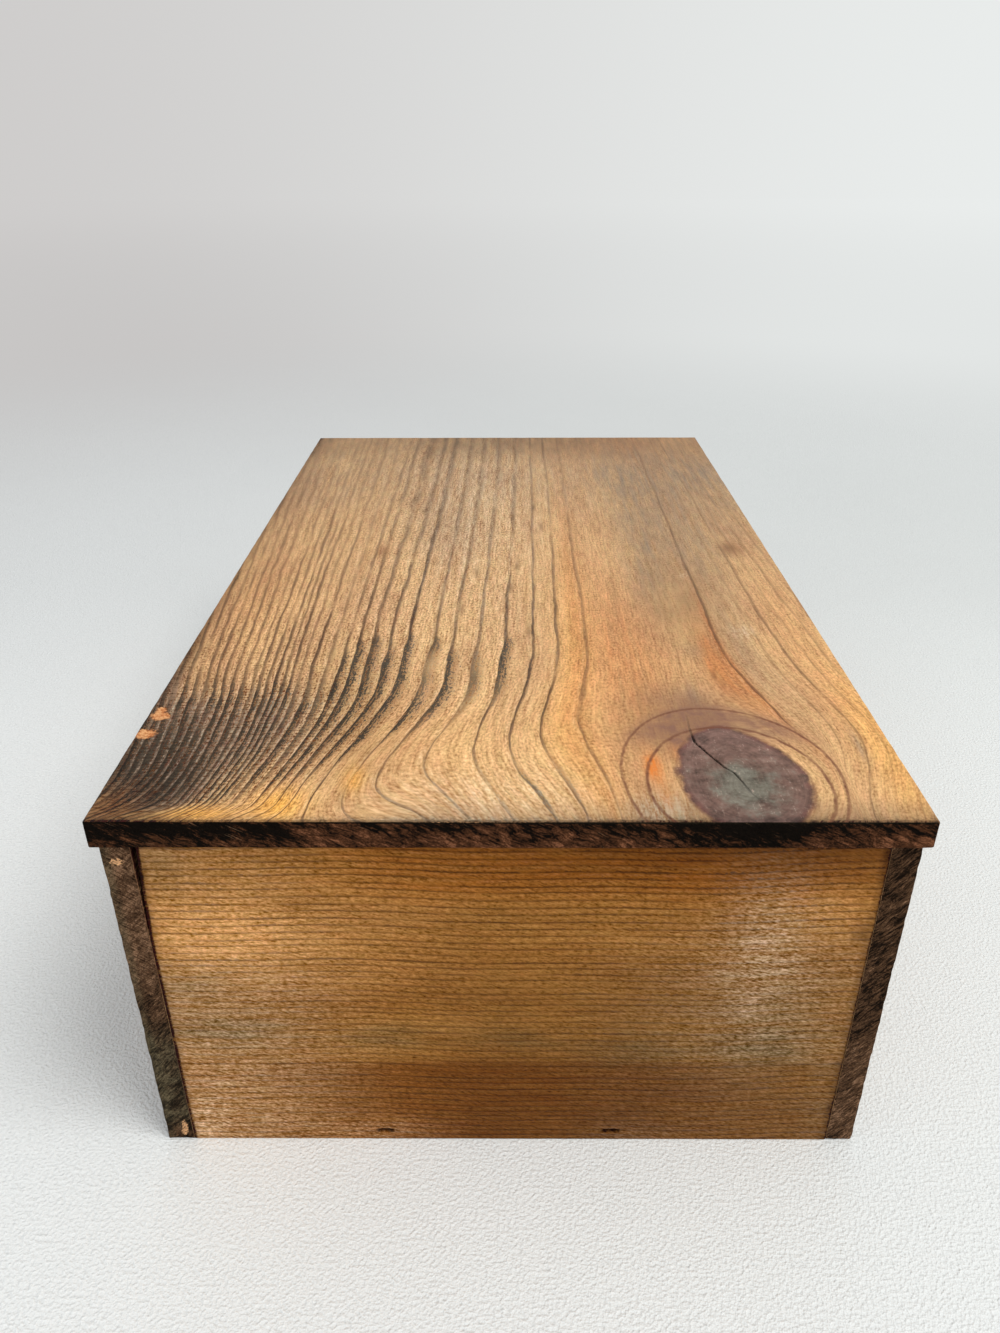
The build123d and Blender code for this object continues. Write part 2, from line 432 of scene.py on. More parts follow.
def end_wood(name, look):
    """End grain: slanting saw strokes, and torn facets with dark edges.

    Here the gold field holds how light the wood is, warm turns the strokes, grey is a dark stain and worn
    bares the raw wood.
    """
    net = material_net(name)
    x, y, z = net.split(net.place())
    flat = x + y
    depth = net.split(net.field("grain"))[2]
    passed, _, strength = net.split(net.field("ring"))
    lift, worn = net.split(net.field("mark"))[:2]
    turned, stain = net.split(net.field("tone"))[:2]
    slant = net.join(flat * look["lean"] + z, flat - z * look["lean"], y)
    bend = net.noise(slant, (5, 9, 5), 1)
    slant = net.join(flat * look["lean"] + z + bend * 1.5, flat - z * look["lean"] + bend * 2, y)
    other = net.join(flat * look["other"] + z, flat - z * look["other"] + bend * 2, y)
    stroke = net.noise(slant, (0.65, 5, 0.65), 4, 0.7)
    stroke = stroke + turned * (net.noise(other, (0.6, 5, 0.6), 4, 0.7) - stroke)
    hair = net.noise(slant, (0.3, 12, 0.3), 1)
    distance, chosen = net.cells(slant, look["facet"])
    cloud = net.noise(slant, (7, 12, 7), 2)
    speck = net.noise(slant, (0.5, 0.8, 0.5), 2, 0.6)
    late = (passed + stroke * 0.25).part().ease(0.3, 0) * strength
    facet = (chosen - 0.5) * look["torn"]
    edge = distance.ease(0.35, 0.75) * look["torn"]
    value = lift + stroke * look["cut"] + cloud * 0.6 + speck * 0.35
    value = value + facet * lift * 0.9 - edge * 0.35 - late * 0.12 + (depth.ease(2, 7) - 0.5) * look["lower"]
    damp = net.mix(value.ease(0, 0.8), srgb(42, 36, 26), srgb(100, 88, 66))
    colour = net.mix(value.ease(0, 0.55), look["deep"], look["mid"])
    colour = net.mix(value.ease(0.5, 1.15), colour, look["light"])
    colour = net.mix((stain * (1 + cloud)).clip(), colour, damp)
    colour = net.mix(hair.ease(0.45, 0.62) * look["hair"], colour, look["fleck"])
    colour = net.mix((worn * (1 + speck * 1.2 + stroke)).ease(0.35, 0.6), colour, look["raw"])
    colour = net.dim(colour, (1 + speck * 1.1 + stroke * 0.5).most(0.1))
    height = stroke * 0.3 + facet * 0.5 - edge * 0.3 + speck * 0.12 + cloud * 0.3
    return net.put_out(net.coat(colour, 0.85 + speck * 0.1, height, look["specular"]))


def knot_dress(net, along, colour, rough, height, fibre, streak):
    """The lid's knot, its rings, the crack and the chips, over the wood's own finish."""
    body, inner, outer = net.split(net.field("knot"))
    crack, crack_power, chip = net.split(net.field("flaw"))
    halo, glow, heart = net.split(net.field("core"))
    place = net.place()
    wobble = net.noise(place, (3.5, 3.5, 3.5), 2)
    fine = net.noise(place, (0.9, 0.9, 0.9), 3, 0.65)
    patch = net.noise(place, (6, 6, 6), 3)
    blot = net.noise(place, (8, 8, 8), 1)
    hoop = net.noise(net.join(body, 0, 0), (1.1, 1, 1), 2)
    scuff = net.noise(place, (0.6, 5, 0.6), 2)
    colour = net.mix((glow * (1 + wobble + fibre)).clip(), colour, srgb(226, 128, 52))
    colour = net.mix((halo * (1 + wobble * 0.8 + streak * 0.4)).clip(), colour, srgb(138, 98, 78))

    # The knot itself: brown wood, greyer in its heart and maroon by its rim, with pale scuffs
    inside = (body + blot * 2.4 + wobble + fine * 0.6).ease(1.1, -1.3)
    greyer = (heart * 1.4 + patch * 1.2 + fine * 0.5).ease(0.1, 1.3)
    shade = net.mix(greyer, srgb(112, 84, 75), srgb(103, 100, 89))
    shade = net.mix((body + wobble * 1.5 + patch * 2).ease(-3.2, -0.4) * 0.9, shade, srgb(96, 60, 54))
    shade = net.mix((scuff + fine * 0.6).ease(0.25, 0.6) * 0.45, shade, srgb(172, 148, 134))
    mottle = 1 + halo * 0.25 + fine * 0.45 + patch * 0.9 + wobble * 0.8 + hoop * 0.5
    colour = net.mix(inside * 0.96, colour, net.dim(shade, mottle.most(0.3)))

    # Lines round it, the crack and the chips
    for ring, thick, share in ((body, 0.5, 0.3), (inner, 0.75, 0.75), (outer, 0.65, 0.7)):
        line = (ring + wobble * 0.5).size().ease(thick + 0.2, thick * 0.2)
        line = line * (share + wobble * 0.5 + streak * 0.3)
        colour = net.mix(line.clip(), colour, srgb(114, 68, 46))
        height = height + line * 0.04
    cut = (crack + fine * 0.3).size().ease(0.5, 0.12) * crack_power
    colour = net.mix(cut.clip(), colour, srgb(22, 24, 18))
    torn = chip + fine * 0.35 + wobble * 0.25
    chipped = torn.ease(0.5, 0.6)
    raw = net.mix((fine + wobble * 0.5).ease(-0.3, 0.4), srgb(190, 112, 60), srgb(232, 172, 116))
    rim = chipped * torn.ease(0.72, 0.56)
    colour = net.mix(chipped, colour, net.mix(rim * 0.7, raw, srgb(110, 66, 40)))
    front_edge = along.ease(4.5, 0.6) * (0.3 + fine * 0.9 + streak * 0.5)
    colour = net.dim(colour, (1 - front_edge).most(0.2))
    return colour, rough - inside * 0.06, height - cut * 0.4 - chipped * 0.25


def iron(name):
    """Forged iron with rust."""
    net = material_net(name)
    place = net.place()
    rust = net.noise(place, (1.1, 1.1, 1.1), 3, 0.65)
    scale = net.noise(place, (0.35, 0.35, 0.35), 2)
    colour = net.mix(rust.ease(-0.2, 0.35), srgb(58, 52, 48), srgb(96, 58, 38))
    colour = net.dim(colour, 1 + scale * 0.6)
    coat = net.coat(colour, 0.62 + rust * 0.3, scale * 0.06 + rust * 0.08, 0.4)
    return net.put_out(coat)


# Looks: the wood's colours, and how strong each of its traits is

plain = dict(
    early=srgb(216, 170, 120), tan=srgb(200, 150, 102), gold=srgb(242, 186, 110), warm=srgb(206, 132, 76),
    grey=srgb(136, 114, 92), late=srgb(96, 62, 38), soot=srgb(56, 48, 38), char=srgb(68, 60, 49),
    pale=srgb(220, 198, 166), ash=srgb(152, 124, 98), ember=srgb(120, 78, 56), dull=srgb(158, 132, 110),
    ray=0.1, wander=1.4, jitter=0.7, tail=1.25, ragged=0.6, contrast=1.0, slant=0.0, ridge=0.1, dash=40,
    crest=0.6, skew=1.3, knots=0.0, blush=0.12, fleck=0.0, fray=0.0, pores=1.0, fibre=0.5, grit=0.45,
    streak=0.28, cross=0.0, rough=0.48, specular=0.45,
)
lid_look = dict(
    plain, early=srgb(226, 179, 123), tan=srgb(206, 158, 111), gold=srgb(248, 180, 86),
    warm=srgb(206, 136, 80), grey=srgb(148, 124, 100), late=srgb(82, 52, 28), soot=srgb(54, 42, 28),
    char=srgb(52, 48, 41), ash=srgb(156, 122, 99), fibre=0.65, grit=0.8, streak=0.4, ray=0.16,
    specular=0.15, rough=0.55, knots=0.7, ragged=0.9, fleck=0.8, blush=0.1, fray=0.4,
)
# On the front board, the three burn colours are painted shadow under the lid's rim, dark and saturated, and
# the pale colour also serves a painted sheen
front_look = dict(
    plain, early=srgb(168, 115, 54), tan=srgb(150, 98, 42), gold=srgb(216, 156, 92), warm=srgb(112, 60, 11),
    grey=srgb(98, 82, 50), late=srgb(70, 34, 6), pale=srgb(202, 168, 130), ash=srgb(150, 84, 14),
    char=srgb(112, 58, 8), soot=srgb(58, 28, 5), skew=1.7, crest=0.1, blush=0.08, tail=2.0, jitter=0.35,
    dash=22, wander=0.5, slant=0.45, cross=0.6, fibre=0.7, grit=0.95, specular=0.05, rough=0.55,
    contrast=0.75, ragged=1.2,
)
side_look = dict(
    plain, early=srgb(160, 112, 66), tan=srgb(132, 90, 52), gold=srgb(186, 134, 76), warm=srgb(122, 72, 40),
    grey=srgb(98, 82, 62), late=srgb(60, 40, 24), tail=1.4, cross=0.15, slant=0.4, specular=0.3,
)
bare_look = dict(
    plain, early=srgb(212, 172, 126), tan=srgb(200, 154, 110), late=srgb(150, 100, 60),
    warm=srgb(186, 124, 84), tail=2.0, rough=0.62, specular=0.35, fibre=0.3, grit=0.2, contrast=0.7,
)
dark_end = dict(
    lean=0.53, other=0.9, facet=(2.0, 5.0, 2.0), torn=0.9, lower=0.35, hair=0.75, cut=0.95,
    deep=srgb(16, 11, 7), mid=srgb(72, 44, 27), light=srgb(124, 80, 55), fleck=srgb(138, 108, 82),
    raw=srgb(150, 110, 76), specular=0.03,
)
side_end = dict(
    lean=-1.1, other=0.75, facet=(1.4, 4.5, 1.4), torn=0.5, lower=0.0, hair=0.45, cut=0.95,
    deep=srgb(24, 15, 8), mid=srgb(84, 60, 42), light=srgb(140, 106, 80), fleck=srgb(164, 134, 106),
    raw=srgb(214, 164, 118), specular=0.03,
)
bare_end = dict(
    lean=0.7, other=0.7, facet=(1.5, 4, 1.5), torn=0.2, lower=0.0, hair=0.3, cut=0.5,
    deep=srgb(110, 76, 48), mid=srgb(152, 110, 72), light=srgb(180, 136, 94), fleck=srgb(196, 158, 118),
    raw=srgb(200, 160, 120), specular=0.3,
)

lid_face = face_wood("lid_face", lid_look, knot_dress)
front_face = face_wood("front_face", front_look)
side_face = face_wood("side_face", side_look)
bare_face = face_wood("bare_face", bare_look)
lid_end = end_wood("lid_end", dark_end)
side_end_grain = end_wood("side_end_grain", side_end)
bare_end_grain = end_wood("bare_end_grain", bare_end)
nail_iron = iron("nail_iron")


# Lid board, where v is the distance from its front edge

# Where ring lines cross the lid, from left to right. Those by its left edge are grown.
LID_RINGS = np.concatenate([grow(-140, -93, lambda x: 3.7, 0.08, 4)[:-1], [
    -92.3, -88.7, -85.5, -82.8, -80.2, -76.7, -72.5, -67, -61.5, -57.2, -51.8, -46, -39.3, -28.8, -21.4, -12,
    -2, 8.5, 18.2, 28.5, 44, 62, 79, 94, 101.5, 108, 115, 121, 127,
]])

# How far a ring line moves aside for each millimetre of depth
RING_LEAN = 0.9

# The lid's lattice steps along x, y and z, and its finer rows by the knot, from the front edge
LID_STEPS = (1.05, 3.6, 2.4)
KNOT_ROWS = np.arange(4, 76, 1.3)

# The knot and the two rings round it: each one's middle, and its reach to the left, right, rear and front
KNOT = ((70, 22), 19.5, 20.5, 30, 27)
INNER_RING = ((68, 18), 27, 27.5, 33, 30)
OUTER_RING = ((64, 24), 30, 36, 39, 45)

# The crack runs through these places, v and x. A column of the lattice is bent to follow it.
CRACK_PATH = ((10, 73), (14, 71), (20, 69.5), (25, 68), (27, 66), (35, 62), (42, 58.8), (50, 58.5), (62, 59))
CRACK_COLUMN = 65.0
CRACK_BEND = 24.0
CRACK_FINE = np.array([-0.9, -0.45, -0.2, 0.2, 0.45, 0.9])
CRACK_DEPTH = 0.8
CHIP_DEPTH = 0.35

# The lid's face: how hollow it is, and how high its ripples are and how deep they lie
SAG = 0.12
RIPPLE = 0.05
RIPPLE_DROP = 0.06

# Short dark dashes along the grain, x and v
DASHES = ((13.4, 271), (16.5, 241), (1, 166), (-19.4, 143), (7.7, 122), (4, 190), (-14, 182))


def crack_offset(v):
    """How far the crack lies from its lattice column at each distance from the front edge."""
    return (course(v, *CRACK_PATH) - CRACK_COLUMN) * ease(v, -4, 8) * ease(v, 78, 62)


def lid_flow(x, v):
    """Each point's place across the grain, were the grain not pushed aside by the knots."""
    # A wave whose crest slants across the board, near the front
    wave = 9 * ease(x, 50, 5) + 11 * ease(x, -3, -50)
    ahead = v - (43 + 0.45 * x - 0.4 * np.maximum(0, -28 - x))
    behind_crest = bell(ahead, 0, (24 + 4 * ease(x, -20, -60)) * math.sqrt(2))
    before_crest = np.cos(math.pi / 2 * np.clip(ahead / 36, -1.6, 0))
    bent = wave * np.where(ahead > 0, behind_crest, before_crest)
    # The knot pushes the rings on its right aside
    pushed = 10.5 * bell(v, 45, np.where(v > 45, 40, 33)) + 15 * ease(x, 103, 98) * bell(v, 14, 28)
    pushed = pushed * ease(x, 64, 86)
    # The rings lean towards the rear, curl at the front left corner, spread on the left and drift a little
    slope = course(
        x, (-54, 0), (-42, 0.03), (10, 0.03), (28, 0.008), (62, 0), (79, 0), (98, -0.04), (110, -0.07)
    )
    behind = np.maximum(0, v - 130)
    leaned = slope * behind / (1 + behind / 400)
    curled = 9.8 * ease(x, -56, -80) * bell(v, 0, 5.4) + 8 * ease(x, -95, -112) * bell(v, 0, 15)
    left = np.minimum(x + 61.5, 0)
    spread = left / (1 + 0.0016 * (v - 150)) - left
    drift = (0.5 + 0.6 * ease(x, -48, -58)) * ease(x, -14, -24) * ease(v, 68, 96)
    drift += 1.5 * ease(x, -42, -30) * ease(x, 10, -4) * bell(v, 94, 13)
    return x + bent + curled + spread + drift - pushed - leaned


def lid_lines(x, v, across, outer):
    """How strong, thick and soft the lid's ring lines are."""
    strength = course(
        across, (-121, 0.7), (-66, 0.8), (-58, 1), (-20, 1), (0, 0.95), (20, 0.9), (28, 0.7), (36, 0.15),
        (60, 0.2), (72, 0.2), (79, 0.8), (86, 0.2), (101, 0.45), (120, 0.45),
    )
    strength = strength * course(
        v, (0, 0.9), (10, 1), (60, 1), (130, 0.95), (200, 0.8), (260, 0.65), (407, 0.5)
    ) * ease(outer, 0, 4)
    strength = strength * (1 - 0.15 * ease(x, -66, -50) * ease(v, 62, 40))
    strength = strength * (1 - 0.45 * ease(v, 290, 370) * ease(x, -78, -100))
    thick = course(v, (0, 0.45), (40, 0.5), (70, 0.75), (150, 0.95), (300, 1.3))
    thick = thick + 0.9 * ease(v, 180, 300) * ease(np.abs(across + 26), 36, 22)
    soft = course(v, (0, 0.3), (150, 0.5), (300, 1.6)) + 0.4 * ease(across, -58, -70) * ease(v, 100, 150)
    return strength, thick, soft


def lid_tones(x, v, across, under):
    """The lid's stains: a burnt and sooty front left corner, golden, orange, grey and rubbed wood."""
    char = spots(
        x, v, (1, -101, 19, 8, 15), (0.75, -113, 40, 11, 24), (0.5, -98, 46, 20, 24), (0.35, -117, 27, 7, 12),
        (0.3, -72, 52, 18, 30), (0.5, -122, 78, 6, 26), (0.35, -117, 8, 12, 8), (0.4, -108, 28, 13, 16),
        (-0.5, -115, 9, 8, 10),
    )
    front_gold = spots(
        x, v, (1, -88, 4, 10, 4), (1.2, -67, 8, 8, 8), (0.9, -47, 21, 3, 7), (0.4, -100, 3, 10, 4)
    )
    char = char - 0.6 * front_gold
    gold = 0.8 * front_gold + spots(x, v, (0.15, -30, 30, 40, 40), (0.5, 118, 40, 8, 50))
    gold = gold + spots(across, v, (0.45, 26, 90, 7, 130))
    warm = spots(
        x, v, (0.4, 46, 90, 20, 60), (0.7, -115, 9, 7, 8), (0.3, -105, 150, 20, 60), (0.3, 110, 110, 10, 70),
        (0.35, 38, 120, 15, 90), (0.35, 75, 400, 45, 50), (0.5, -58.5, 208, 4, 8), (0.5, 104, 211, 6, 9),
    )
    warm = warm + spots(across, v, (1.1, 75, 92, 4.5, 34), (0.8, 79, 110, 1.6, 70), (0.35, 27, 150, 3.5, 220))
    grey = 0.2 * ease(v, 150, 330) + 0.2 * ease(v, 240, 330) + 0.3 * ease(v, 14, 3) * ease(x, -45, -20)
    grey += 0.3 * ease(x, 40, 60) * ease(v, 130, 300) * ease(v, 400, 330)
    grey += spots(across, v, (0.35, 87, 110, 7, 50))
    grey += spots(
        x, v, (0.25, 70, 230, 14, 70), (0.35, 60, 180, 10, 50), (0.35, 90, 205, 13, 55),
        (0.3, -30, 235, 20, 40), (0.25, 60, 72, 12, 10), (0.35, 63.5, 72, 1.6, 9), (0.35, 69, 106, 4, 6),
        (0.6, 110.5, 40, 1.6, 10),
    )
    clear = course(across, (-90, 0), (-60, 14), (-45, 26), (-30, 42), (-10, 58), (0, 66))
    smoke = ease(v, clear - 8, clear + 10) * ease(across, 14, -2) * course(v, (60, 1), (100, 0.9))
    smoke = (smoke + spots(x, v, (0.4, 8, 18, 18, 14))) * (1 - 0.8 * np.clip(gold, 0, 1))
    smoke = smoke * (1 - 0.8 * ease(across, -56, -66) * ease(v, 66, 88))
    rubbed = 0.35 * ease(v, 3, 0.5) * bell(x, -10, 35)
    rubbed = rubbed + spots(x, v, (0.6, 42, 6, 6, 6), (0.22, -8, 10, 34, 16), (0.25, 50, 6, 7, 9))
    worn = rubbed * ease(under, 0.8, 0)
    worn = worn + spots(x, v, (0.2, -14, 260, 38, 150), (0.35, 91, 122, 5, 5), (0.5, 77, 178, 1.4, 2.5))
    return warm, grey, np.maximum(char, 0), gold, worn, smoke


def lid_shade(x, v, across):
    """Where the lid's top is darker: towards its edges, round the knot and in short dashes."""
    shade = 0.08 + 0.04 * ease(x, 42, 62) * ease(v, 150, 250) + 0.14 * ease(x, -96, -121) * ease(v, 60, 200)
    shade += 0.2 * ease(v, 335, 400) + 0.15 * ease(v, 345, 400) * ease(np.abs(x), 60, 40)
    shade += 0.5 * ease(v, 1.5, 0.3) + 0.1 * ease(v, 12, 3) * ease(x, -45, -20)
    shade += 0.28 * ease(x, -117.3, -119.3) * (0.75 + 0.5 * ease(v, 200, 80)) * ease(v, 8, 30)
    shade += spots(
        x, v, (0.42, -118, 4, 22, 24), (0.1, -84, 28, 16, 20), (0.2, 72, 0, 22, 12), (0.2, 45, 10, 12, 10),
        (0.22, 50, 55, 22, 22), (0.25, -112, 12, 10, 14), (0.18, 74, 155, 17, 50), (0.22, 62, 50, 13, 13),
        (0.2, -50, 50, 12, 32), (0.45, 73.3, 86, 0.7, 4), (0.4, 75.2, 80, 0.7, 3), (-0.08, -10, 30, 50, 40),
        (0.3, -58.5, 208, 3, 7), (0.3, 104, 211, 5, 8), (0.22, -119, 105, 4, 24), (0.1, 66, 140, 10, 26),
        (-0.08, 28, 75, 16, 30), (-0.1, 115, 75, 6, 30), (0.12, -64, 102, 5, 14), (0.16, -108, 82, 9, 9),
        (0.17, -67, 82, 8, 9), (0.1, -118, 90, 3, 16),
    )
    shade += spots(x, v, *[(0.45, *place, 0.9, 6) for place in DASHES])
    return shade + spots(
        across, v, (0.32, -28.3, 135, 0.9, 42), (0.2, -11.4, 98, 0.9, 14), (-0.25, -1.2, 96, 1.3, 14)
    )


def make_lid():
    """The lid's mesh, whose lattice follows the crack, with the fields that its wood needs."""
    low, high = node_box("lid_board")
    front = low[1]
    fine = (CRACK_COLUMN + CRACK_FINE, front + KNOT_ROWS, ())
    points, quads, sides = shell(*map(stations, low, high, LID_STEPS, fine))
    v = points[:, 1] - front
    top = np.abs(points[:, 2] - high[2]) < ON_FACE
    from_crack = points[:, 0] - CRACK_COLUMN
    points[:, 0] += crack_offset(v) * np.clip(1 - np.abs(from_crack) / CRACK_BEND, 0, 1) * top
    x, under = points[:, 0], high[2] - points[:, 2]

    # Rings and tones
    across = lid_flow(x, v) + RING_LEAN * under
    passed, width = count_rings(across, LID_RINGS)
    body = oval_gap(x + 0.22 * np.maximum(v - 24, 0) * ease(x, 62, 78), v, *KNOT)
    inner, outer = oval_gap(x, v, *INNER_RING), oval_gap(x, v, *OUTER_RING)
    strength, thick, soft = lid_lines(x, v, across, outer)
    warm, grey, char, gold, worn, smoke = lid_tones(x, v, across, under)
    glow = spots(x, v, (1, 43.9, 28, 2.3, 6.5), (0.25, 46, 14, 2, 8), (0.35, 53, 38, 3, 5))
    halo = 0.7 * ease(outer, 6, -3) * ease(v, 34, 52)
    halo = halo + spots(x, v, (0.4, 60, 68, 16, 8), (0.5, 54, 42, 6, 8), (0.5, 56.5, 18, 3.5, 14))
    heart = spots(x, v, (1, 71, 16, 9, 12), (0.4, 66, 22, 14, 8))
    chip = spots(x, v, (1, -116.4, 58, 4.4, 3.2), (0.8, -117.4, 63, 2.4, 2.4), (1, -118, 47, 4.8, 4))
    crack_power = course(v, (24, 0.7), (30, 1), (44, 1), (47, 0.45), (64, 0))
    crack_power = crack_power * ease(v, 3, 26) * ease(v, 64, 56)

    # On the ends, the gold field holds how light the end grain is
    end_light = 0.19 + 0.37 * ease(x, -75, -50) * ease(x, 52, 42) + 0.33 * ease(x, 82, 90)
    end_light = end_light - 0.3 * bell(x, 70, 17)
    end_face = ((v < ON_FACE) | (v > v.max() - ON_FACE)) & (under > 0.5)
    gold = np.where(end_face, end_light, gold)
    warm, grey = np.where(end_face, 0, warm), np.where(end_face, 0, grey)
    fields = {
        "grain": (across, v, under),
        "ring": (passed, width, strength),
        "line": (thick, soft, lid_shade(x, v, across)),
        "tone": (warm, grey, char),
        "mark": (gold, worn, smoke),
        "knot": (body, inner, outer),
        "flaw": (from_crack, crack_power, chip),
        "core": (halo, glow, heart),
    }

    # Relief: ripples of the rings on a slightly hollow face, the crack and the chips
    ripple = RIPPLE * strength * ease(width, 2.8, 6) * np.cos(2 * math.pi * (passed - 0.2))
    hollow = SAG * noise(points, (60, 140, 60)) + RIPPLE_DROP
    cut = CRACK_DEPTH * ease(np.abs(from_crack), 0.42, 0.1) * ease(crack_power, 0.4, 0.9)
    chips = CHIP_DEPTH * np.clip(2 * chip - 0.9, 0, 1)
    inset = np.minimum.reduce([x - low[0], high[0] - x, v, high[1] - front - v])
    radius = 0.5 + 0.7 * np.clip(noise(points, (5, 5, 5)) - 0.45, 0, 1)
    rounded = round_edges(points, low, high, radius)
    rounded[:, 2] -= top * ((hollow - ripple) * ease(inset, 0, 3) + cut + chips)
    make_piece(
        "lid", "lid_board", (rounded, quads, sides), fields, [lid_face, bare_face, lid_end],
        [0, 0, 2, 2, 1, 0], "lid",
    )


make_lid()


# Boards with straight grain

# Lattice steps along x, y and z
WALL_STEPS = (2.2, 2.4, 1.0)
SIDE_STEPS = (1.5, 3.0, 1.0)
BOTTOM_STEPS = (2.5, 5, 2.4)
BATTEN_STEPS = (3, 1.5, 1.5)

# The fields of a board that has no tones of its own
PLAIN_TONE = dict(
    warm=0, grey=0, char=0, gold=0, worn=0, smoke=0, shade=0, strength=0.8, thick=0.4, soft=0.4
)

# A nail's flat head lies along the grain
HEAD_HALF_LENGTH = 3.0
HEAD_HALF_WIDTH = 1.1

# The front board's left joint: how wide it stands open at the rim, how far down, and how far along it bends
JOINT_GAP = 1.7
JOINT_DEPTH = 38.0
JOINT_REACH = 30.0

# The bevel at a batten's ends
LEAD_IN = 3.0


def make_board(
    node, name, grain_axis, across_axis, steps, rings, lean, waves, body, materials, material_of_side,
    tones=None, wear=0.5, nails=(), outer=0, shape=None,
):
    """One board, whose grain runs along one axis and whose rings lie across another.

    Each wave of the grain has its height, its length and where it starts. The nails are the middles of the
    heads that are punched into the outer face, which is 0 for the low one and 1 for the high one.
    """
    low, high = node_box(node)
    thin_axis = 3 - grain_axis - across_axis
    slits = np.reshape(nails, (-1, 3))[:, [grain_axis, across_axis]]
    fine = [[], [], []]
    fine[grain_axis] = np.add.outer(slits[:, 0], SLIT_ROWS).ravel()
    fine[across_axis] = np.add.outer(slits[:, 1], SLIT_COLUMNS).ravel()
    points, quads, sides = shell(*map(stations, low, high, steps, fine))
    along, flat, thin = points[:, grain_axis], points[:, across_axis], points[:, thin_axis]
    depth = thin - low[thin_axis]
    across = flat + lean * depth
    for size, length, turn in waves:
        across = across + size * np.sin(2 * math.pi * (along / length + turn))
    passed, width = count_rings(across, rings)
    own = tones(along, flat, thin) if tones else {}
    tone = {key: value + np.zeros(len(points)) for key, value in {**PLAIN_TONE, **own}.items()}
    on_face = np.abs(thin - (low, high)[outer][thin_axis]) < ON_FACE
    in_slit, slit_depth = slit_shapes(along, flat, slits)
    # Painted shade in the nail slits, darkest in their hollows
    tone["shade"] += SLIT_SHADE * in_slit * on_face
    fields = {
        "grain": (across, along, depth),
        "ring": (passed, width, tone["strength"]),
        "line": (tone["thick"], tone["soft"], tone["shade"]),
        "tone": (tone["warm"], tone["grey"], tone["char"]),
        "mark": (tone["gold"], tone["worn"], tone["smoke"]),
    }
    rough = 0.6 * noise(points, (4, 4, 4)) + 0.4 * noise(points + 50, (1.7, 1.7, 1.7))
    radius = np.minimum(0.35 + wear * np.clip(rough - 0.4, 0, 1), 0.45 * (high - low).min())
    rounded = round_edges(points, low, high, radius)
    inwards = 1 - 2 * outer
    rounded[:, thin_axis] += inwards * slit_depth * on_face
    if shape:
        shape(rounded, low, high)
    make_piece(name, node, (rounded, quads, sides), fields, materials, material_of_side, body)


def nail_heads(group, axis, half_head, count=3):
    """Middles of the heads of a group of nails, which stand in a row along an axis."""
    low, high = node_box(group)
    heads = np.tile((low + high) / 2, (count, 1))
    heads[:, axis] = np.linspace(low[axis] + half_head, high[axis] - half_head, count)
    return heads


def front_tones(x, z, _):
    """The front board: golden and grey wood, a brown band at its foot, and painted shadow below the lid's
    rim.
    """
    foot = ease(z, 40.5, 37)
    rich = 0.5 * foot * ease(x, 20, 50) * ease(x, 106, 96)
    warm = foot * (0.2 + 0.5 * ease(x, -90, -20) * ease(x, 110, 40))
    # Painted shadow under the lid's rim: warmer, more saturated colour towards the top
    warm = warm + 0.15 * ease(z, 100, 120) * ease(x, -70, -10)
    # Painted shadow under the lid's rim, dark and saturated, in the burn field; its small spot at the foot
    # only deepens the brown band
    char = 0.38 * ease(z, 98, 118) * ease(x, -90, -20) * ease(x, 160, 80) + spots(x, z, (0.12, 5, 26, 50, 16))
    grey = 0.15 * ease(x, 10, 60) * ease(z, 100, 60) + spots(
        x, z, (0.65, -92, 53, 22, 8), (0.4, -102, 73, 15, 8), (0.5, -40, 50, 14, 6), (0.35, 0, 50, 16, 5),
        (0.35, 55, 44, 40, 9), (0.35, -103, 120, 10, 9), (0.35, 86, 50, 16, 30),
    )
    gold = 0.25 * ease(x, -60, -100) + spots(
        x, z, (1, -88, 94, 22, 13), (0.4, 96, 104, 14, 14), (0.3, -50, 100, 30, 16), (0.2, -50, 77, 30, 8)
    )
    # Pale wear, paler on the left, and painted sheen over the right half: whitish flecks like fibres catching
    # the light, strongest round x 78
    worn = 0.2 * ease(x, -30, -100) * ease(z, 96, 70) + 0.14 * ease(x, 10, 80) * ease(z, 110, 80)
    worn += 0.06 * ease(x, -40, -80)
    worn += spots(x, z, (0.36, 78, 88, 13, 34), (0.2, -104, 10, 10, 14), (0.12, -42, 4, 20, 7))
    worn = worn * (1 - rich) + spots(x, z, (0.12, 42, 3, 16, 6))
    # Painted shadow below the lid's rim, deepest right under it
    shade = 0.4 * ease(z, 107, 126) * ease(x, -70, 70) + 0.5 * ease(z, 126.5, 129)
    shade += 0.04 * ease(z, 40, 20) * ease(x, -60, 0) + 0.02 * ease(x, 60, 92) * ease(z, 50, 40)
    shade += 0.18 * ease(x, -45, 0) * ease(x, 90, 40) * ease(z, 94, 66)
    shade += 0.05 * ease(x, -40, -10) * ease(z, 112, 90)
    shade += (0.14 * ease(x, 55, 95) - 0.05 * ease(x, -50, -105)) * foot
    shade += spots(
        x, z, (0.1, 5, 103, 60, 9), (0.5, 106.5, 96, 2.5, 4), (-0.26, -45, 5, 24, 7), (-0.15, -108, 8, 10, 16)
    )
    shade += 0.25 * ease(np.abs(x), 106.5, 109) + 0.5 * ease(np.abs(x), 109, 110)
    shade += 0.6 * ease(x, -108.7, -109.3)
    strength = 0.85 + 0.15 * ease(z, 78, 92)
    return dict(
        warm=warm, grey=grey * (1 - rich), gold=gold, worn=worn, shade=shade, strength=strength, char=char
    )


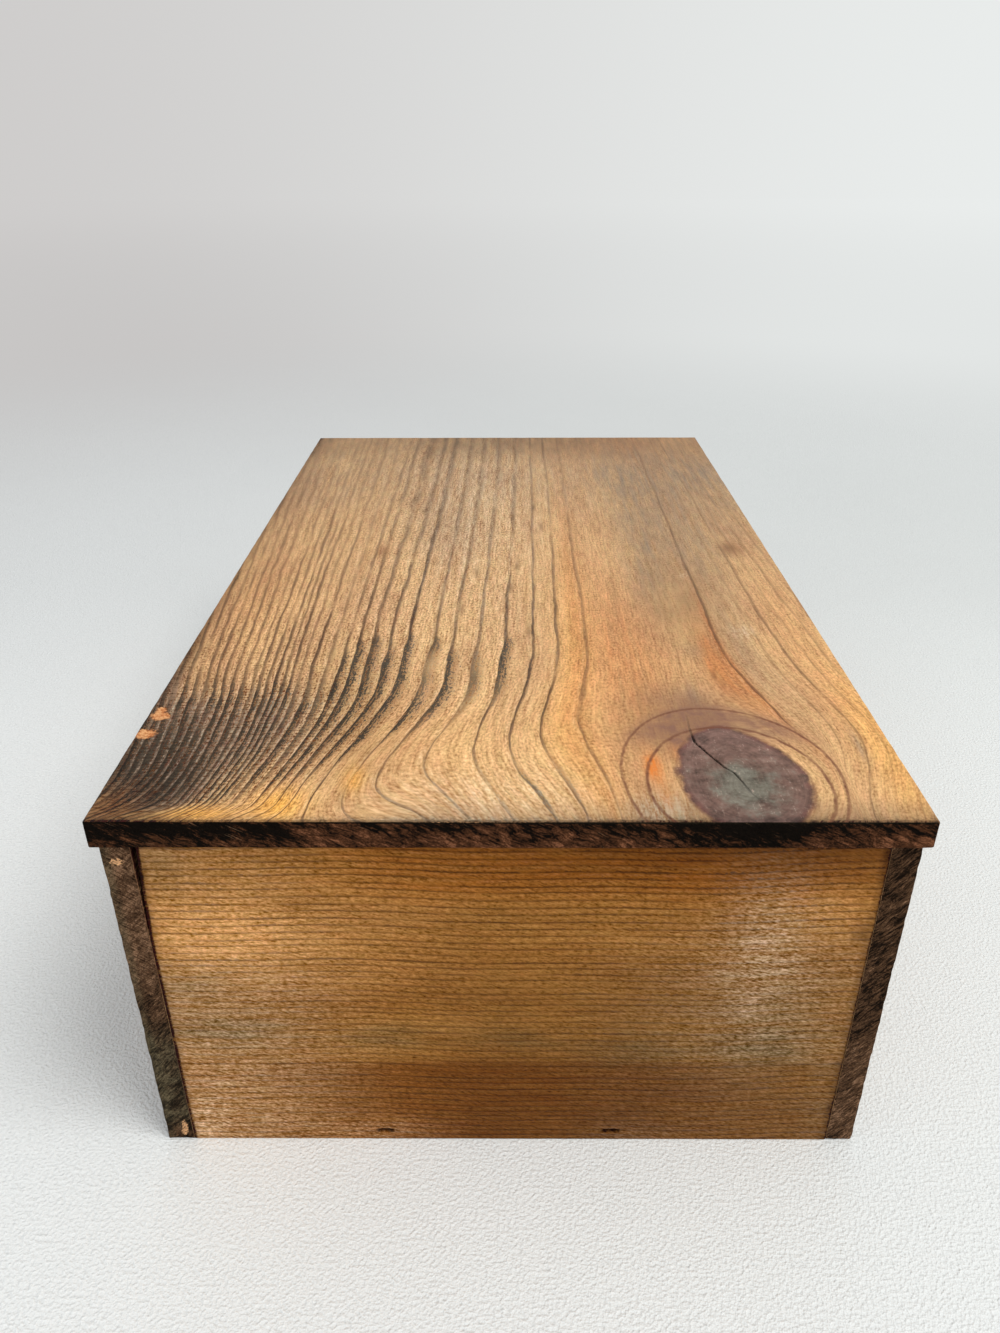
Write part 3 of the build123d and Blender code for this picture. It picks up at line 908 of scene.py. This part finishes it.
def rear_tones(x, z, _):
    """The rear board: a few large stains, darker by its ends, and painted shade below the lid's rim."""
    return dict(
        warm=spots(x, z, (0.5, -30, 90, 70, 24)), grey=spots(x, z, (0.5, 50, 40, 60, 14)),
        gold=spots(x, z, (0.5, 70, 100, 30, 16)), strength=0.7,
        shade=0.4 * ease(z, 122, 129) + 0.35 * ease(np.abs(x), 106, 110),
    )


def side_tones(y, z, x):
    """The side boards: a few large stains, and the end grain that shows at the front."""
    warm = spots(y, z, (0.5, -60, 80, 90, 26))
    grey = spots(y, z, (0.5, 80, 50, 110, 20), (0.3, -140, 30, 60, 20))
    gold = spots(y, z, (0.4, 120, 100, 60, 14))
    # Darker towards the front end and at the foot, and painted shade below the lid's rim
    shade = 0.4 * ease(y, -160, -201) + 0.35 * ease(z, 120, 129) + 0.3 * ease(z, 8, 0)
    # Painted shade on the inner face by the front end, inside the box
    shade = shade + 0.55 * ease(y, -198, -200.5) * ease(np.abs(x), 112, 111)
    front, left = y < y.min() + ON_FACE, x < 0
    light = np.where(left, 0.76 - 0.32 * ease(z, 80, 55), 0.36 + 0.36 * ease(z, 80, 20))
    stain = left * (0.8 * ease(z, 62, 40) * ease(z, 3, 12) + 0.5 * ease(x, -115, -118))
    chips = spots(x, z, (1, -114.8, 122.5, 2.2, 1.3), (0.85, -112.4, 7, 1, 3.6), (0.6, -113, 3.5, 1.4, 2))
    return dict(
        warm=np.where(front, left * ease(z, 62, 80), warm), grey=np.where(front, stain, grey),
        gold=np.where(front, light, gold), worn=np.where(front, chips, 0), shade=np.where(front, 0, shade),
    )


def open_joint(points, low, high):
    """Pulls the left end of the board away from its neighbour towards the rim."""
    up = np.clip((points[:, 2] - high[2]) / JOINT_DEPTH + 1, 0, 1)
    beside = np.clip((low[0] - points[:, 0]) / JOINT_REACH + 1, 0, 1)
    points[:, 0] += JOINT_GAP * up * beside


def lead_in(points, low, high):
    """Bevels a batten's lower ends, so that it finds its way between the walls."""
    for sign, end in ((-1, low[0]), (1, high[0])):
        over = np.maximum(sign * (points[:, 0] - end) + low[2] + LEAD_IN - points[:, 2], 0) / 2
        points[:, 0] -= sign * over
        points[:, 2] += over


make_board(
    "front_board", "front", 0, 2, WALL_STEPS, grow(-12, 145, lambda z: 2.6, 0.25, 3), 0.35,
    ((0.9, 210, 0.1), (0.4, 75, 0.4)), "box", [front_face, bare_face], [0, 0, 0, 1, 0, 0],
    tones=front_tones, wear=0.3, nails=nail_heads("nails_bottom_front", 0, HEAD_HALF_LENGTH, 2),
    shape=open_joint,
)
make_board(
    "rear_board", "rear", 0, 2, WALL_STEPS,
    grow(-20, 150, lambda z: 2.6 + 1.4 * float(ease(z, 60, 20)), 0.25, 5), -0.35,
    ((1.4, 260, 0.6), (0.5, 90, 0.2)), "box", [front_face, bare_face], [0, 0, 1, 0, 0, 0],
    tones=rear_tones, wear=0.3, nails=nail_heads("nails_bottom_rear", 0, HEAD_HALF_LENGTH, 2), outer=1,
)
for corner, lean, seed, outer in (("left", 0.9, 11, 0), ("right", -0.9, 12, 1)):
    kinds = [1, 1, 2, 2, 0, 0]
    kinds[outer] = 0
    heads = [nail_heads(f"nails_{end}_{corner}_corner", 2, HEAD_HALF_WIDTH) for end in ("front", "rear")]
    heads.append(nail_heads(f"nails_bottom_{corner}", 1, HEAD_HALF_LENGTH))
    make_board(
        f"{corner}_side_board", f"{corner}_side", 1, 2, SIDE_STEPS,
        grow(-30, 160, lambda z: 3.2 + 1.2 * math.sin(z / 19 + seed), 0.25, seed), lean,
        ((2.5, 420, seed * 0.13), (0.8, 130, 0.3)), "box",
        [side_face, bare_face, side_end_grain], kinds, tones=side_tones, wear=2.2,
        nails=np.concatenate(heads), outer=outer,
    )
make_board(
    "bottom_board", "bottom", 1, 0, BOTTOM_STEPS,
    grow(-130, 150, lambda x: 5.5 + 2.5 * math.sin(x / 31), 0.25, 21), 0.8, ((3, 500, 0.2),),
    "box", [bare_face, bare_end_grain], [0, 0, 1, 1, 0, 0],
)
for end, seed in (("front", 31), ("rear", 32)):
    low, high = node_box(f"lid_batten_{end}")
    make_board(
        f"lid_batten_{end}", f"batten_{end}", 0, 1, BATTEN_STEPS,
        grow(low[1] - 20, high[1] + 20, lambda y: 2.6, 0.3, seed), 0.6, ((0.8, 180, 0.3),),
        "lid", [bare_face, bare_end_grain], [1, 1, 0, 0, 0, 0], wear=0.6,
        nails=nail_heads(f"nails_batten_{end}", 0, HEAD_HALF_LENGTH), shape=lead_in,
    )

for node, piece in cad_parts.items():
    if node.startswith("nails_"):
        piece.data.materials.clear()
        piece.data.materials.append(nail_iron)


# Floor and background. The floor is in metres.

# The background's colours on the left and right; the darker left is painted shade
PAPER_LEFT = srgb(206, 204, 203)
PAPER_RIGHT = srgb(234, 237, 236)
FLOOR_REACH = 6.0
FLOOR_CELLS = 24


def floor_paper():
    """White paper with a fine tooth. Far from the object it turns into the background."""
    net = material_net("floor_paper")
    place = net.place()
    x, y, _ = net.split(place)
    away = net.length(place)
    pebble = net.noise(place, (1.2, 1.2, 1.2), 1)
    cloud = net.noise(place, (140, 140, 140), 2)
    colour = net.mix(x.ease(-500, 500), srgb(240, 241, 239), srgb(232, 234, 231))
    # The floor is painted darker from 20 mm behind the middle and further back, as painted shadow behind the
    # box
    colour = net.dim(colour, 1 + pebble * 0.12 + cloud * 0.02 - y.ease(20, 300) * 0.1)
    # The background glow is painted darker on the left and in a band at middle distance, as painted shade
    paper = net.mix((x / away).ease(-0.5, 0.5), PAPER_LEFT, PAPER_RIGHT)
    glow = net.light("ShaderNodeEmission", net.dim(paper, 1 - away.ease(6000, 900) * 0.07))
    near = net.coat(colour, 0.7, pebble * 0.35, 0.5)
    return net.put_out(net.blend(away.ease(420, 1500) * net.seen(), near, glow))


def make_floor():
    """A flat grid round the object."""
    places = np.linspace(-FLOOR_REACH, FLOOR_REACH, FLOOR_CELLS + 1)
    points = [(x, y, 0.0) for y in places for x in places]
    row = FLOOR_CELLS + 1
    corners = [j * row + i for j in range(FLOOR_CELLS) for i in range(FLOOR_CELLS)]
    mesh = bpy.data.meshes.new("floor")
    mesh.from_pydata(points, [], [(c, c + 1, c + row + 1, c + row) for c in corners])
    mesh.materials.append(floor_paper())
    floor = bpy.data.objects.new("floor", mesh)
    bpy.context.scene.collection.objects.link(floor)


def make_world():
    """Even light from all round, and the paper's colour where the background shows."""
    world = bpy.data.worlds.new("studio")
    bpy.context.scene.world = world
    net = Net(world)
    x = net.split(net.coordinates("Generated"))[0]
    # The seen background is painted darker on the left, as painted shade
    paper = net.light("ShaderNodeBackground", net.mix(x.ease(-0.5, 0.5), PAPER_LEFT, PAPER_RIGHT))
    room = net.light("ShaderNodeBackground", srgb(236, 240, 244), 0.66)
    net.put_out(net.blend(net.seen(), room, paper), "ShaderNodeOutputWorld")


make_floor()
make_world()


# Lamps and camera, in metres

CAMERA_PLACE = (-0.00137, -0.42837, 0.30765)
CAMERA_PITCH, CAMERA_YAW, CAMERA_ROLL = (math.radians(degrees) for degrees in (28.046, -0.357, 0.188))
CAMERA_LENS, CAMERA_SENSOR = 35.54, 36


def make_lamp(name, place, aim, size, power, colour):
    """A round soft lamp at a place, turned towards its aim."""
    lamp = bpy.data.lights.new(name, "AREA")
    lamp.shape = "DISK"
    lamp.size = size
    lamp.energy = power
    lamp.color = colour
    holder = bpy.data.objects.new(name, lamp)
    bpy.context.scene.collection.objects.link(holder)
    turn = (Vector(aim) - Vector(place)).to_track_quat("-Z", "Y").to_matrix().to_4x4()
    holder.matrix_world = Matrix.Translation(place) @ turn


def make_camera():
    """The camera that was fitted to the box's corners in the photo."""
    down, level = math.sin(CAMERA_PITCH), math.cos(CAMERA_PITCH)
    s, c = math.sin(CAMERA_YAW), math.cos(CAMERA_YAW)
    forward = np.array([s * level, c * level, -down])
    up = np.array([s * down, c * down, level])
    right = np.array([c, -s, 0])
    s, c = math.sin(CAMERA_ROLL), math.cos(CAMERA_ROLL)
    right, up = right * c - up * s, right * s + up * c
    data = bpy.data.cameras.new("camera")
    data.sensor_fit = "HORIZONTAL"
    data.sensor_width = CAMERA_SENSOR
    data.lens = CAMERA_LENS
    camera = bpy.data.objects.new("camera", data)
    bpy.context.scene.collection.objects.link(camera)
    turn = Matrix([list(row) for row in np.column_stack([right, up, -forward])]).to_4x4()
    camera.matrix_world = Matrix.Translation(CAMERA_PLACE) @ turn
    bpy.context.scene.camera = camera


make_lamp("key", (1.05, -0.75, 2.2), (0, 0, 0.05), 1.3, 34, (1.0, 0.99, 0.97))
make_lamp("fill", (-0.5, -1.7, 1.0), (0, 0, 0.08), 1.2, 4, (0.97, 0.98, 1.0))
make_camera()
bpy.context.scene.view_settings.view_transform = "Standard"
